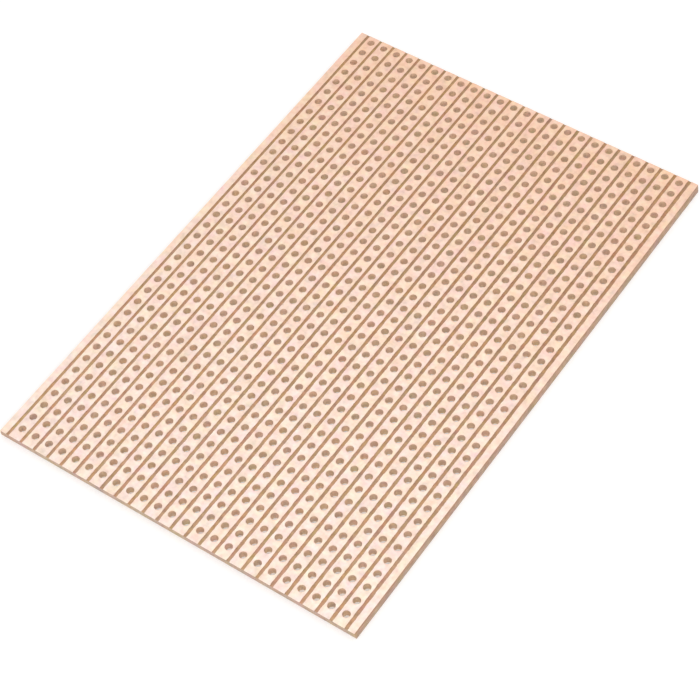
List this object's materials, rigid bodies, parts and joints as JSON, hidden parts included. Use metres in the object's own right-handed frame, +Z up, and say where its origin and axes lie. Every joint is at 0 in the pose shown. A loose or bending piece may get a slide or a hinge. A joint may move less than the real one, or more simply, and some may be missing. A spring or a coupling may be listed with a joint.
{
  "type": "prototype board",
  "caption": "Rectangular drilled prototype board with parallel copper strips on one face, a square grid of through holes and a plain copper strip along each side.",
  "frame": {"origin": "centre of the board's outline, on the plain underside that it rests on", "axes": "+Z up out of the copper face, +Y along the copper strips towards the end with the narrower margin, +X across the strips"},
  "size_m": [0.0642, 0.0948, 0.0014],
  "materials": {
    "laminate": "matte brown hard-paper laminate",
    "copper": "satin bare copper foil"
  },
  "bodies": {
    "root": {"base_board": "laminate", "side_strip_left": "copper", "side_strip_right": "copper", "copper_strip_01": "copper", "copper_strip_02": "copper", "copper_strip_03": "copper", "copper_strip_04": "copper", "copper_strip_05": "copper", "copper_strip_06": "copper", "copper_strip_07": "copper", "copper_strip_08": "copper", "copper_strip_09": "copper", "copper_strip_10": "copper", "copper_strip_11": "copper", "copper_strip_12": "copper", "copper_strip_13": "copper", "copper_strip_14": "copper", "copper_strip_15": "copper", "copper_strip_16": "copper", "copper_strip_17": "copper", "copper_strip_18": "copper", "copper_strip_19": "copper", "copper_strip_20": "copper", "copper_strip_21": "copper", "copper_strip_22": "copper", "copper_strip_23": "copper", "copper_strip_24": "copper"}
  },
  "joints": []
}
